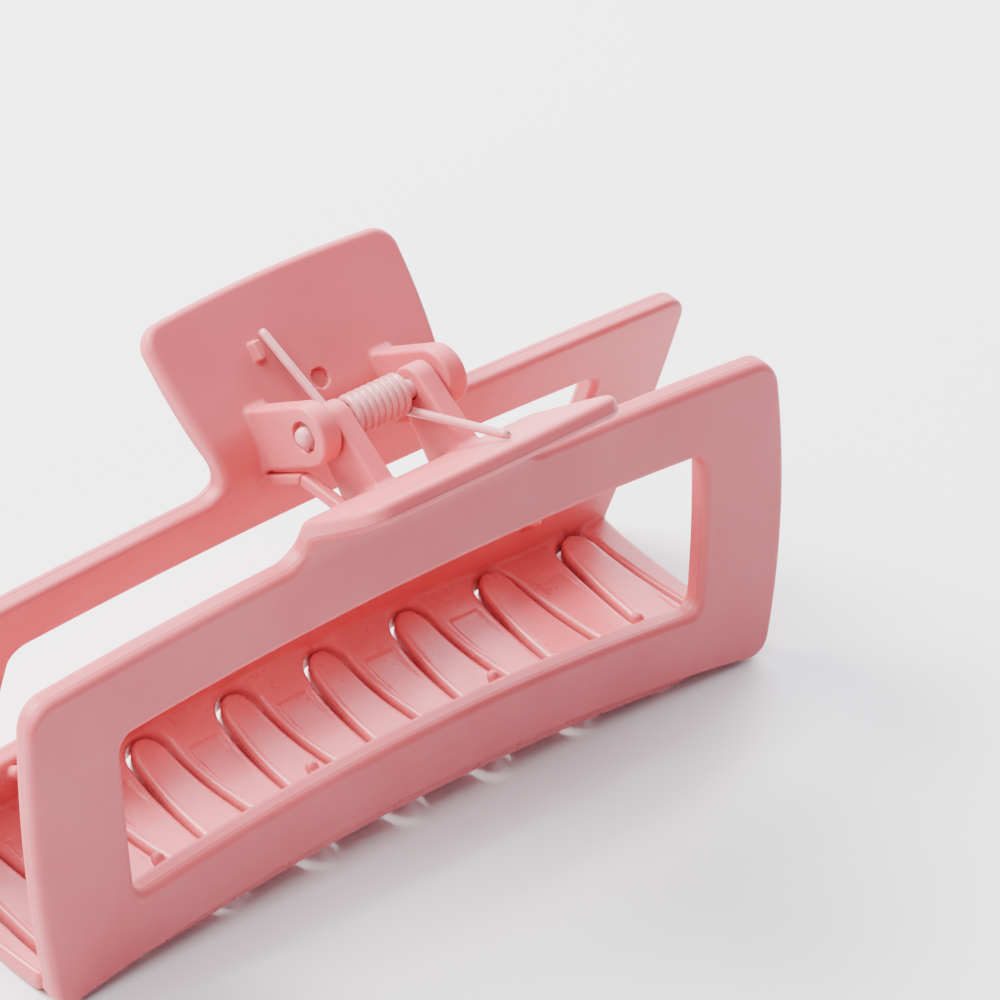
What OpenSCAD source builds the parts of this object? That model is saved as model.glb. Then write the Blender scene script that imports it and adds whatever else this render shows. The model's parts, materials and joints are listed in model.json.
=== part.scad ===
// Large rectangular claw clip for hair: two moulded jaws, a hinge pin and a torsion spring.
// X runs along the clip, Y across it from the front jaw (-Y) to the rear jaw (+Y), Z is up.
// The origin is on the surface that the closed clip stands on, below the middle of the hinge pin.

/* [Clip] */
// Greatest length of the clip, across its bowed ends
clip_l = 114.6; // [112:0.2:118]
// Distance across the closed clip at the lower edges of the two walls
clip_w = 30.6; // [29:0.2:34]
// Height of each wall at mid-length
wall_h = 36; // [34:0.5:38]
// Thickness of the moulded walls
wall_t = 3; // [2.6:0.1:3.2]
// Height of the walls' lower edge above the surface at mid-length
wall_lift = 6.4; // [6.2:0.1:7]
// How far the walls' lower edge drops from mid-length to each end
bottom_arch = 5.6; // [4.6:0.1:5.8]
// How far the walls' top edge drops from mid-length to each end
top_arch = 2.3; // [1.5:0.1:3]
// How far the walls' ends draw in from their widest place to the lower corners
end_bow = 2.6; // [2:0.1:3]
// Radius of the walls' outer corners
corner_r = 3; // [2:0.5:4]

/* [Window] */
// Greatest length of the window in each wall
window_l = 89; // [86:0.2:90]
// How far each side of the window draws in towards its foot
window_taper = 1.3; // [0.5:0.1:1.5]
// Height of the rail under the window at mid-length
rail_h = 7.9; // [7:0.1:9]
// Height of the window at mid-length
window_h = 19.7; // [18:0.1:20.5]
// Radius of the window's corners
window_r = 1.6; // [1:0.1:2.5]

/* [Handles] */
// Width of a handle where it leaves the top rail
neck_w = 32; // [31:0.5:34]
// Width of a handle at its tip
tip_w = 37.4; // [36:0.2:39]
// Angle of a handle above level
handle_lean = 40; // [38:1:44]
// Length of the straight part of a handle
blade_l = 14.2; // [13:0.2:15]
// Inner radius of the bend between wall and handle
bend_r = 8.5; // [8:0.1:9.5]

/* [Hinge] */
// Height of the pin's axis above the walls' top edge
pin_rise = 9; // [8.4:0.1:9]
// Diameter of the hinge pin
pin_d = 2.4; // [2.2:0.1:2.5]
// Length of the hinge pin over its domed ends
pin_l = 23.1; // [23:0.1:24]
// Radius of the rounded noses of the outer hinge lugs
nose_r = 3.6; // [3.4:0.1:3.8]
// Radius of the rounded noses of the inner hinge lugs
inner_nose_r = 2.6; // [2.4:0.1:3]
// Thickness of each hinge lug
lug_t = 2.75; // [2.5:0.05:2.8]
// Side gap between an inner and an outer lug
lug_gap = 0.35; // [0.3:0.05:0.5]
// Radial play of the pin in the front jaw's lugs
running_fit = 0.05; // [0.03:0.01:0.08]

/* [Spring] */
// Diameter of the spring wire
wire_d = 1.1; // [1:0.05:1.15]
// Inside diameter of the coil
coil_id = 2.9; // [2.8:0.05:3.1]
// Number of turns in the coil
coil_turns = 8; // [6:1:8]
// Distance along the rear handle from its bend to the end of the spring leg
rear_leg_reach = 9; // [7:0.5:10]
// Distance along the front handle from its bend to the end of the spring leg
front_leg_reach = 12; // [10:0.5:13]

/* [Teeth] */
// Distance between two neighbouring teeth of one jaw
tooth_pitch = 13.6; // [13.4:0.05:13.7]
// Thickness of a tooth at the bottom of the clip
tooth_t = 2.2; // [1.8:0.1:2.4]
// Width of a tooth halfway along it
tooth_w = 6.1; // [5.6:0.1:6.2]
// Gap between the tips of the teeth and the opposite wall
tip_gap = 0.4; // [0.3:0.1:0.8]
// Diameter of the small grip pegs on the lower rails
peg_d = 1.6; // [1.2:0.1:2]

/* [Hidden] */

$fn = 96;
pink = "#cf8a8c";
spring_pink = "#c99a96";
pin_pink = "#d8a6a8";

half_l = clip_l / 2;
corner_x = half_l - end_bow;      // where the walls' corners are
half_w = clip_w / 2;
top_z = wall_lift + wall_h;
pin_z = top_z + pin_rise;
past = 60;                       // longer than anything it cuts

// The wall's outer face is part of a large cylinder that leans in towards the hinge.
wall_in = 6.85;                  // how far the wall leans in over its height
wall_bulge = 0.42;               // how far its face stands out from the straight chord
chord = sqrt(wall_h * wall_h + wall_in * wall_in);
face_r = chord * chord / (8 * wall_bulge) + wall_bulge / 2;
chord_tilt = atan(wall_in / wall_h);
face_y = half_w - wall_in / 2 - (face_r - wall_bulge) * cos(chord_tilt);
face_z = wall_lift + wall_h / 2 - (face_r - wall_bulge) * sin(chord_tilt);

function outer_y(z) = face_y + sqrt(face_r * face_r - pow(z - face_z, 2));
function inner_y(z) = face_y + sqrt(pow(face_r - wall_t, 2) - pow(z - face_z, 2));
function arch_r(drop) = corner_x * corner_x / (2 * drop) + drop / 2;

// Handle: an arc that starts at the wall's top edge and ends at the lean, then a straight blade.
bend_y = inner_y(top_z) + bend_r;
bend_end_y = bend_y - bend_r * cos(90 - handle_lean);
bend_end_z = top_z + bend_r * sin(90 - handle_lean);
tip_t = 2.4;                     // thickness of the blade near its tip
neck_z = top_z + 3;              // height of the narrowest place above the rail
tip_crown = 0.75;                // how far the tip's edge bows out at its middle

lug_end = pin_l / 2 - 0.7;       // outer face of the outer lugs, short of the pin's end
lug_start = lug_end - lug_t;
inner_lug_end = lug_start - lug_gap;
inner_lug_start = inner_lug_end - lug_t;
lug_tilt = 35;                   // slope of the outer lugs from the nose down to the handle
inner_lug_tilt = 30;             // slope of the inner lugs' upper edge
inner_lug_flare = 45;            // slope of the inner lugs' lower edge
head_gap = 0.65;                 // room round the pin's ends in the outer lugs
head_depth = 0.9;

coil_r = coil_id / 2 + wire_d / 2;
turn_pitch = wire_d + 0.05;
rear_turn_x = wire_d / 2 + 0.1 - inner_lug_start;   // the coil sits against the left inner lug
front_turn_x = rear_turn_x + (coil_turns - 1) * turn_pitch;

// Teeth
root_crease = 0.6;               // how far a root reaches up the rail's inner face
root_back = 2.2;                 // how far the root's underside reaches under the rail
foot_half = 5;                   // half the length of the flat that the end teeth stand on
foot_clear = 0.4;                // how far the other teeth stay above the surface
root_y = inner_y(wall_lift);
tip_y = root_y - tip_gap;
mid_tip_rise = 3;                // how far the tips curl up at mid-length
end_tip_rise = 1.3;              // how far they curl up at the ends
taper = 0.075;                   // how much half a tooth narrows per millimetre towards its tip
front_tooth_count = 8;
rear_tooth_count = 7;
stop_gap = 0.06;                 // gap between the closing stops at rest

// Turns an outline drawn as (y, z) into a bar along X between two places.
module along_x(x0, x1) {
  translate([x0, 0, 0]) rotate([90, 0, 90]) linear_extrude(x1 - x0) children();
}

// Turns an outline drawn as (x, z) into a bar along Y on the rear side.
module along_y(y0 = -1, y1 = past) {
  translate([0, y1, 0]) rotate([90, 0, 0]) linear_extrude(y1 - y0) children();
}

// The leaning wall as one long curved plate, wider and taller than a jaw needs.
module wall_plate() {
  intersection() {
    along_x(-half_l, half_l) translate([0, -1]) square([past, top_z + 1]);
    difference() {
      translate([-half_l, face_y, face_z]) rotate([0, 90, 0]) cylinder(r = face_r, h = clip_l, $fn = 720);
      translate([-half_l - 1, face_y, face_z]) rotate([0, 90, 0])
        cylinder(r = face_r - wall_t, h = clip_l + 2, $fn = 720);
    }
  }
}

// Area under a shallow arch whose crown is at height z and which drops by drop at each end.
module under_arch(z, drop) {
  translate([0, z - arch_r(drop)]) circle(r = arch_r(drop), $fn = 720);
}

// Rectangle with four round corners between two heights.
module rounded_box(half, z0, z1, r) {
  translate([-half + r, z0]) square([2 * half - 2 * r, z1 - z0]);
  translate([-half, z0 + r]) square([2 * half, z1 - z0 - 2 * r]);
  for (x = [-half + r, half - r], z = [z0 + r, z1 - r]) translate([x, z]) circle(r = r);
}

window_bottom_z = wall_lift + rail_h;
window_top_z = window_bottom_z + window_h;
window_bottom_arch = bottom_arch - (bottom_arch - top_arch) * rail_h / wall_h;
window_top_arch = bottom_arch - (bottom_arch - top_arch) * (rail_h + window_h) / wall_h;
corner_u = pow(window_l / 2 / corner_x, 2);
widest_z = 26;                   // height at which the walls are longest
window_widest_z = 33;

function bow_r(height, bow) = height * height / (2 * bow) + bow / 2;

// Face of a jaw seen from the side, with its arched edges and its window.
module frame_outline() {
  difference() {
    intersection() {
      under_arch(top_z, top_arch);
      rounded_box(half_l, wall_lift - bottom_arch, top_z - top_arch + corner_r / 2, corner_r);
      end_r = bow_r(widest_z - wall_lift + bottom_arch, end_bow);
      translate([half_l - end_r, widest_z]) circle(r = end_r, $fn = 720);
      translate([end_r - half_l, widest_z]) circle(r = end_r, $fn = 720);
    }
    under_arch(wall_lift, bottom_arch);
    window_outline();
  }
}

module window_outline() {
  intersection() {
    difference() {
      under_arch(window_top_z, window_top_arch);
      under_arch(window_bottom_z, window_bottom_arch);
    }
    rounded_box(window_l / 2, window_bottom_z - window_bottom_arch * corner_u,
                window_top_z, window_r);
    side_r = bow_r(window_widest_z - window_bottom_z + window_bottom_arch, window_taper);
    translate([window_l / 2 - side_r, window_widest_z]) circle(r = side_r, $fn = 720);
    translate([side_r - window_l / 2, window_widest_z]) circle(r = side_r, $fn = 720);
  }
}

// Part of the frame between two places along X and two heights.
module frame_piece(x0, x1, z0, z1) {
  intersection() {
    wall_plate();
    along_y() intersection() {
      frame_outline();
      translate([x0, z0]) square([x1 - x0, z1 - z0]);
    }
  }
}

window_mid_z = (window_bottom_z + window_top_z) / 2;
module top_rail() { frame_piece(-window_l / 2, window_l / 2, window_mid_z, top_z); }
module bottom_rail() { frame_piece(-window_l / 2, window_l / 2, 0, window_mid_z); }
module left_post() { frame_piece(-half_l, -window_l / 2, 0, top_z); }
module right_post() { frame_piece(window_l / 2, half_l, 0, top_z); }

// Section of the handle: wall bend, straight blade and round tip.
module handle_section() {
  bend_steps = 10;
  bend = 90 - handle_lean;
  inner = [for (i = [0:bend_steps]) let (a = bend * i / bend_steps)
           [bend_y - bend_r * cos(a), top_z + bend_r * sin(a)]];
  outer = [for (i = [bend_steps:-1:0]) let (a = bend * i / bend_steps)
           [bend_y - (bend_r - wall_t) * cos(a), top_z + (bend_r - wall_t) * sin(a)]];
  tip_steps = 8;
  tip_mid = [bend_end_y + blade_l * cos(handle_lean) + tip_t / 2 * sin(handle_lean),
             bend_end_z + blade_l * sin(handle_lean) - tip_t / 2 * cos(handle_lean)];
  tip = [for (i = [0:tip_steps]) let (a = 90 + handle_lean - 180 * i / tip_steps)
         tip_mid + tip_t / 2 * [cos(a), sin(a)]];
  polygon(concat(inner, tip, outer));
}

blade_top_z = bend_end_z + blade_l * sin(handle_lean) + tip_t / 2;

// Front view of a handle: fillets into the rail, a flare and rounded tip corners.
module handle_outline() {
  steps = 8;
  fillet = neck_z - top_z;
  flank = [for (i = [0:steps]) let (a = 90 * i / steps)
           [neck_w / 2 + fillet * (1 - sin(a)), top_z + fillet * (1 - cos(a))]];
  corner = 3;
  tip_corner = [for (i = [0:steps]) let (a = 90 * i / steps)
                [tip_w / 2 - corner * (1 - cos(a)), blade_top_z - tip_crown - corner * (1 - sin(a))]];
  crown = [for (i = [1:steps]) let (x = (tip_w / 2 - corner) * (1 - i / steps))
           [x, blade_top_z - tip_crown * pow(x / (tip_w / 2 - corner), 2)]];
  flare = [for (i = [1:steps - 1]) let (t = i / steps)
           [neck_w / 2 + (tip_w - neck_w) / 2 * (1 - pow(1 - t, 2.2)),
            neck_z + (blade_top_z - tip_crown - corner - neck_z) * t]];
  right = concat(flank, flare, tip_corner, crown);
  left = [for (i = [len(right) - 2:-1:0]) [-right[i][0], right[i][1]]];
  polygon(concat(right, left));
}

module handle() {
  intersection() {
    along_x(-half_l, half_l) handle_section();
    along_y() handle_outline();
  }
}

// Everything behind the inner faces of the wall and the handle, with a little play.
module behind_faces(play = 1) {
  wall_low = top_z - 16;
  polygon([[inner_y(wall_low) + play, wall_low], [inner_y(top_z) + play, top_z],
           [bend_end_y + play, bend_end_z], [past, bend_end_z + (past - bend_end_y) * tan(handle_lean)],
           [past, wall_low]]);
}

// Side view of a hinge lug: a round nose about the pin and a foot that spreads to the handle.
module lug_section(nose, upper_tilt, lower_tilt) {
  reach = 25;
  top_edge = nose * [sin(upper_tilt), cos(upper_tilt)];
  low_edge = -nose * [sin(lower_tilt), cos(lower_tilt)];
  translate([0, pin_z]) circle(r = nose);
  translate([0, pin_z]) polygon([[0, 0], low_edge, low_edge + reach * [cos(lower_tilt), -sin(lower_tilt)],
                                 top_edge + reach * [cos(upper_tilt), -sin(upper_tilt)], top_edge]);
}

// A pair of hinge lugs on the rear side, from x0 to x1 and the same on the other side.
module lug_pair(x0, x1, nose, upper_tilt, lower_tilt, bore_r) {
  difference() {
    for (side = [0, 1]) mirror([side, 0, 0]) along_x(x0, x1) difference() {
      lug_section(nose, upper_tilt, lower_tilt);
      behind_faces();
    }
    wall_plate();
    handle();
    translate([-half_l, 0, pin_z]) rotate([0, 90, 0]) cylinder(r = bore_r, h = clip_l);
  }
}

module outer_lugs() {
  difference() {
    lug_pair(lug_start, lug_end, nose_r, lug_tilt, lug_tilt, pin_d / 2);
    for (side = [0, 1]) mirror([side, 0, 0]) translate([lug_end - head_depth, 0, pin_z])
      rotate([0, 90, 0]) cylinder(r = pin_d / 2 + head_gap, h = head_depth + 1);
  }
}

module inner_lugs() {
  lug_pair(inner_lug_start, inner_lug_end, inner_nose_r, inner_lug_tilt, inner_lug_flare,
           pin_d / 2 + running_fit);
}

// Ribs under the outer lugs that meet the other jaw's and stop the clip closing further.
module closing_stops(slope) {
  stop_top = pin_z - 5.25;
  stop_h = 1.5;
  rib_t = 1.4;
  reach = 16;
  end = lug_end - 0.1;
  difference() {
    for (side = [0, 1]) mirror([side, 0, 0]) along_x(end - rib_t, end) difference() {
      polygon([[stop_gap / 2, stop_top], [stop_gap / 2, stop_top - stop_h],
               [reach, stop_top - stop_h - reach * tan(slope)], [reach, stop_top - reach * tan(slope)]]);
      behind_faces();
    }
    wall_plate();
    handle();
  }
}

// How far a tooth's upper face climbs from its low middle to its root and to its tip.
function root_rise(x) = max(0.8, wall_lift - bottom_arch * pow(x / corner_x, 2)
                                 + root_crease - foot_clear - tooth_t);
function root_curve(y, reach, climb) = climb * pow(max(y, 0) / reach, 3);
function tip_curve(y, rise) = rise * pow(max(-y, 0) / tip_y, 2);

// Section of a rear tooth: root on the rear rail, a long shallow curve, and a thinner tip.
module tooth_section(rise, climb, lift) {
  steps = 24;
  tip_thin = 0.5;
  end_y = root_y + root_back;
  upper = [for (i = [0:steps]) let (y = -tip_y + (root_y + tip_y) * i / steps)
           [y, lift + tooth_t + root_curve(y, root_y, climb) + tip_curve(y, rise - tip_thin)]];
  lower = [for (i = [steps:-1:0]) let (y = -tip_y + (end_y + tip_y) * i / steps)
           [y, lift + (y > foot_half ? root_curve(y - foot_half, end_y - foot_half, climb) : 0)
               + (y < -foot_half ? tip_curve(y + foot_half, rise) : 0)]];
  polygon(concat(upper, [[end_y, lift + tooth_t + climb]], lower));
}

// Plan of a tooth: it narrows from the root to a round tip.
module tooth_plan(x) {
  half_tip = tooth_w / 2 - taper * tip_y;
  half_root = tooth_w / 2 + taper * (root_y + 3);
  translate([x, -tip_y + half_tip]) circle(r = half_tip);
  translate([x, 0]) polygon([[-half_tip, -tip_y + half_tip], [half_tip, -tip_y + half_tip],
                             [half_root, root_y + 3], [-half_root, root_y + 3]]);
}

function tip_rise(x) = mid_tip_rise - (mid_tip_rise - end_tip_rise) * pow(x / corner_x, 2);

module tooth(x) {
  intersection() {
    along_x(-half_l, half_l) tooth_section(tip_rise(x), root_rise(x), foot_clear);
    linear_extrude(past) tooth_plan(x);
  }
}

// A row of teeth of a jaw whose root is on the rear side, cut to meet the rail face to face.
module tooth_row(count) {
  difference() {
    for (i = [0:count - 1]) tooth((i - (count - 1) / 2) * tooth_pitch);
    rail_body();
  }
}

// The wall below the window without its rounded ends.
module rail_body() {
  intersection() {
    wall_plate();
    along_y() difference() {
      translate([-half_l, 0]) square([clip_l, window_mid_z]);
      under_arch(wall_lift, bottom_arch);
    }
  }
}

// Broad teeth at the two ends of the rear jaw, with a flat underside that the clip stands on.
module end_teeth() {
  last_x = (front_tooth_count - 1) / 2 * tooth_pitch;
  side_gap = 0.6;
  inner_mid = last_x + tooth_w / 2 + side_gap;
  inner_tip = inner_mid + taper * tip_y;
  inner_root = inner_mid - taper * (root_y + 3);
  outer = corner_x - 0.1;
  tip_r = 0.8;
  difference() {
    intersection() {
      along_x(-half_l, half_l) tooth_section(end_tip_rise, root_rise(last_x + tooth_w), 0);
      linear_extrude(past) for (side = [0, 1]) mirror([side, 0, 0]) {
        polygon([[inner_tip, -tip_y + tip_r], [inner_tip + tip_r, -tip_y], [outer - tip_r, -tip_y],
                 [outer, -tip_y + tip_r], [outer, root_y + 3], [inner_root, root_y + 3]]);
      }
    }
    rail_body();
  }
}

// Round peg with a bevelled end.
module peg(length) {
  bevel = peg_d / 4;
  cylinder(d = peg_d, h = length - bevel);
  translate([0, 0, length - bevel]) cylinder(d1 = peg_d, d2 = peg_d - 2 * bevel, h = bevel);
}

// Small round pegs that lean inwards from the top of a lower rail, cut flush with its inner face.
module grip_pegs(places) {
  peg_l = 2.6;
  peg_drop = 2.2;
  root_l = 1.5;
  for (x = places) {
    z = window_bottom_z - window_bottom_arch * pow(x / corner_x, 2) - peg_drop;
    lean = asin((z - face_z) / (face_r - wall_t));
    translate([x, inner_y(z), z]) difference() {
      rotate([45, 0, 0]) translate([0, 0, -root_l]) peg(peg_l + root_l);
      rotate([lean, 0, 0]) translate([-peg_d, 0, -2 * peg_d]) cube([2 * peg_d, 2 * peg_d, 4 * peg_d]);
    }
  }
}

// Round blind mark in the middle of the rear handle's inner face.
module moulding_mark() {
  mark_d = 2.3;
  mark_depth = 0.8;
  mark_x = 0.4;
  mark_s = 1.5;
  translate([mark_x, bend_end_y + mark_s * cos(handle_lean), bend_end_z + mark_s * sin(handle_lean)])
    rotate([handle_lean, 0, 0]) translate([0, 0, -mark_depth]) cylinder(d = mark_d, h = mark_depth + 1);
}

// Centre of the spring leg's end, resting on the blade at a distance from the bend.
function leg_end(reach) = [bend_end_y + reach * cos(handle_lean) - wire_d / 2 * sin(handle_lean),
                           bend_end_z - pin_z + reach * sin(handle_lean) + wire_d / 2 * cos(handle_lean)];

// Straight leg that leaves the underside of the coil and rests on the rear handle.
module leg(x, reach) {
  end = leg_end(reach);
  far = norm(end);
  slope = atan2(end[1], end[0]) + asin(coil_r / far);
  leg_l = sqrt(far * far - coil_r * coil_r);
  translate([x, coil_r * sin(slope), pin_z - coil_r * cos(slope)]) rotate([slope, 0, 0])
    rotate([-90, 0, 0]) cylinder(d = wire_d, h = leg_l, $fn = 32);
}

// One round turn of the coil at x, a hair thinner than the wire so that turns only touch.
module turn(x, d = wire_d - 0.02) {
  translate([x, 0, pin_z]) rotate([0, 90, 0]) rotate_extrude() translate([coil_r, 0]) circle(d = d, $fn = 32);
}

// ---- Rear jaw ----
module rear_top_rail() { color(pink) top_rail(); }
module rear_bottom_rail() { color(pink) bottom_rail(); }
module rear_left_post() { color(pink) left_post(); }
module rear_right_post() { color(pink) right_post(); }

module rear_handle() {
  color(pink) difference() {
    handle();
    moulding_mark();
  }
}

module rear_hinge_lugs() { color(pink) outer_lugs(); }
module rear_closing_stops() { color(pink) closing_stops(lug_tilt - 2); }

// Small block beside the end of the rear spring leg, which keeps the leg from walking sideways.
module rear_spring_locator() {
  block = [1.2, 2.4, 1.2];
  side_gap = 0.5;
  s = rear_leg_reach - block[1] - 0.7;
  color(pink) translate([rear_turn_x - wire_d / 2 - side_gap - block[0],
                         bend_end_y + s * cos(handle_lean), bend_end_z + s * sin(handle_lean)])
    rotate([handle_lean, 0, 0]) cube(block);
}

module rear_teeth() { color(pink) tooth_row(rear_tooth_count); }
module rear_end_teeth() { color(pink) end_teeth(); }
module rear_grip_pegs() { color(pink) grip_pegs([-40, -16.5, 16.5, 40]); }

// ---- Hinge pin and spring ----
module hinge_pin() {
  dome = 0.5;
  shaft = pin_l - 2 * dome;
  dome_r = (pin_d * pin_d / 4 + dome * dome) / (2 * dome);
  color(pin_pink) translate([0, 0, pin_z]) rotate([0, 90, 0]) {
    cylinder(d = pin_d, h = shaft, center = true);
    for (side = [0, 1]) mirror([0, 0, side]) intersection() {
      translate([0, 0, shaft / 2 + dome - dome_r]) sphere(r = dome_r, $fn = 96);
      translate([0, 0, shaft / 2]) cylinder(d = pin_d, h = dome + 1);
    }
  }
}

// All turns but the one at each end, joined by a thin web on the inside so that they are one solid.
module spring_coil() {
  web_t = 0.2;
  first = rear_turn_x + turn_pitch;
  last = front_turn_x - turn_pitch;
  color(spring_pink) {
    for (i = [0:coil_turns - 3]) turn(first + i * turn_pitch, wire_d);
    translate([first, 0, pin_z]) rotate([0, 90, 0]) difference() {
      cylinder(r = coil_r + web_t / 2, h = last - first);
      translate([0, 0, -1]) cylinder(r = coil_r - web_t / 2, h = last - first + 2);
    }
  }
}

module spring_rear_leg() {
  color(spring_pink) {
    turn(rear_turn_x);
    leg(rear_turn_x, rear_leg_reach);
  }
}

module spring_front_leg() {
  color(spring_pink) {
    turn(front_turn_x);
    mirror([0, 1, 0]) leg(front_turn_x, front_leg_reach);
  }
}

// ---- Front jaw, a mirror image with lugs that sit between the rear ones ----
module front_side() { mirror([0, 1, 0]) children(); }
module front_top_rail() { color(pink) front_side() top_rail(); }
module front_bottom_rail() { color(pink) front_side() bottom_rail(); }
module front_left_post() { color(pink) front_side() left_post(); }
module front_right_post() { color(pink) front_side() right_post(); }
module front_handle() { color(pink) front_side() handle(); }
module front_hinge_lugs() { color(pink) front_side() inner_lugs(); }
module front_closing_stops() { color(pink) front_side() closing_stops(0); }
module front_teeth() { color(pink) front_side() tooth_row(front_tooth_count); }
module front_grip_pegs() { color(pink) front_side() grip_pegs([-37, -14, 14, 37]); }

rear_top_rail();
rear_bottom_rail();
rear_left_post();
rear_right_post();
rear_handle();
rear_hinge_lugs();
rear_closing_stops();
rear_spring_locator();
rear_teeth();
rear_end_teeth();
rear_grip_pegs();
hinge_pin();
spring_coil();
spring_rear_leg();
front_top_rail();
front_bottom_rail();
front_left_post();
front_right_post();
front_handle();
front_hinge_lugs();
front_closing_stops();
front_teeth();
front_grip_pegs();
spring_front_leg();
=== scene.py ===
"""Looks of the claw clip: two seamless moulded jaws, a painted pin and a painted torsion spring.

Each jaw is described by a signed distance field in millimetres: a bent sheet with a round-cornered
outline, joined to its lugs, stops, teeth and pegs by small fillets. The field is turned into a mesh
and the mesh is moved exactly onto the field. Everything is worked out for the rear jaw's side and
mirrored across the hinge plane for the front jaw.
"""
import json
import math

import bpy
import numpy as np
from mathutils import Matrix, Vector


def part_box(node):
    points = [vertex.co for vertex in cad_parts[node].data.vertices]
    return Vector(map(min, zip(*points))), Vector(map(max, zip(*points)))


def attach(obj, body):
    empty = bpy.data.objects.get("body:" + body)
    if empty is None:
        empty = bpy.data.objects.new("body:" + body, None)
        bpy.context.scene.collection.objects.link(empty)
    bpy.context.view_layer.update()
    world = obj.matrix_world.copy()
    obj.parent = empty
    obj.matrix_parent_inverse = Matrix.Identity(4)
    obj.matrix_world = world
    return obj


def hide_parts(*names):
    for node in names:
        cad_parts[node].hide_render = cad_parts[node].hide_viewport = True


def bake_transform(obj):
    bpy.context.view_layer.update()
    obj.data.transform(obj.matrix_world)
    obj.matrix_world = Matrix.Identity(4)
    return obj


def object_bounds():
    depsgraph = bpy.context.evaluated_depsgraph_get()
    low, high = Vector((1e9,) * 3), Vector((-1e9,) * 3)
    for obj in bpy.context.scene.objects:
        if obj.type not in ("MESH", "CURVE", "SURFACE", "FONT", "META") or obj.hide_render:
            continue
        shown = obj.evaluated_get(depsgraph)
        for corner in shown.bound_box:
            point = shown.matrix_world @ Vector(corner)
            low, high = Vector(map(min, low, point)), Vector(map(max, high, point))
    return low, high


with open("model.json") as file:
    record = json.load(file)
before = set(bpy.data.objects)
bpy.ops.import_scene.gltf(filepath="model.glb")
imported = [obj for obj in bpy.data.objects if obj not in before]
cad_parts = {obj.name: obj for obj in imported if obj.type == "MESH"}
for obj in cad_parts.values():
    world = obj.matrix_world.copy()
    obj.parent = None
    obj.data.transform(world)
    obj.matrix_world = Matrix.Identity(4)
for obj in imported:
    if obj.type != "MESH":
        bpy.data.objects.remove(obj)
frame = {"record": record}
cad_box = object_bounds()

MM = 0.001


def low(node, axis):
    """Lowest coordinate of a CAD node, in millimetres."""
    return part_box(node)[0][axis] / MM


def high(node, axis):
    """Highest coordinate of a CAD node, in millimetres."""
    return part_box(node)[1][axis] / MM


# ---- Sizes in millimetres ----
X, Y, Z = 0, 1, 2
PIN_Z = frame["record"]["behaviour"]["joints"][0]["pos_m"][Z] / MM
HALF_L = high("rear_right_post", X)
WINDOW_HALF = low("rear_right_post", X)
TOP_Z = high("rear_top_rail", Z)
LUG_END = high("rear_hinge_lugs", X)
INNER_LUG_END = high("front_hinge_lugs", X)
LUG_START = INNER_LUG_END + 0.35
PIN_HALF = high("hinge_pin", X)

WALL_H = 36.0
WALL_T = 3.0
LIFT = TOP_Z - WALL_H            # wall's lower edge at mid-length
HALF_W = 15.3                    # outer face at the wall's lower edge
WALL_IN = 6.85                   # lean of the wall over its height
WALL_BULGE = 0.42                # how far the wall's face stands out from its chord
END_BOW = 2.6
WIDEST_Z = 26.0                  # height at which the walls are longest
WINDOW_TAPER = 1.3               # how far the window's sides draw in towards the bottom
WINDOW_WIDEST_Z = 33.0
CORNER_X = HALF_L - END_BOW
BOTTOM_ARCH = 5.6
TOP_ARCH = 2.3
RAIL_H = 7.9
WINDOW_H = 19.7
EDGE_R = 0.9                     # rounding of the sheet's edges
SEAM_DEPTH = 0.55                # parting line on the rims, from the sheet's middle outwards
BODY_TOP_R = 3.2                 # these round the outline's corners
BODY_LOW_R = 2.8
WINDOW_R = 1.8
HANDLE_R = 2.8
NECK_FILLET = 3.6                # between the wall's top edge and the handle

BEND_R = 8.5                     # of the inner face, where the wall bends into the handle
LEAN = math.radians(40)          # handle's slope
BLADE_L = 14.2
TIP_T = 2.4
NECK_HALF = 15.9
TIP_HALF = 18.75
TIP_CROWN = 0.85
FLARE_START = 3.0                # where the handle starts to widen, along the sheet
FLARE_POWER = 2.2
HANDLE_ROOT = 10.0               # how far the handle's outline reaches down into the wall

NOSE_R = 3.6
INNER_NOSE_R = 2.6
LUG_T = 2.75
LUG_TILT = math.radians(35)
INNER_LUG_TILT = math.radians(30)
LUG_FLARE = math.radians(45)
LUG_EDGE_R = 0.4
LUG_FILLET = 0.7
TOOTH_FILLET = 0.5
SMALL_R = 0.3                    # edges and fillets of the stops, the pegs and the spring's tab
STOP_SLOPE = math.radians(33)
STOP_T = 1.5
STOP_W = 1.4
STOP_DROP = 6.0                  # middle of the stop below the pin
STOP_FACE = 0.04                 # stop's face short of the hinge plane
PIN_R = 1.2
HEAD_R = 1.85                    # recess round the pin's end
HEAD_DEPTH = 0.9
MARK_R = 1.15                    # round blind mark on the rear handle
MARK_DEPTH = 0.8
MARK_X = 0.4
MARK_S = 1.5

WIRE_R = 0.54
COIL_R = 2.0
CAD_WIRE_R = 0.55                # the CAD's legs reach this far past the middle of their wire
COIL_TURNS = 7                   # from the middle of the first turn to the middle of the last
REAR_TURN_X = low("spring_rear_leg", X) + CAD_WIRE_R
FRONT_TURN_X = high("spring_front_leg", X) - CAD_WIRE_R
REAR_REACH = 9.0
FRONT_REACH = 12.0

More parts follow.
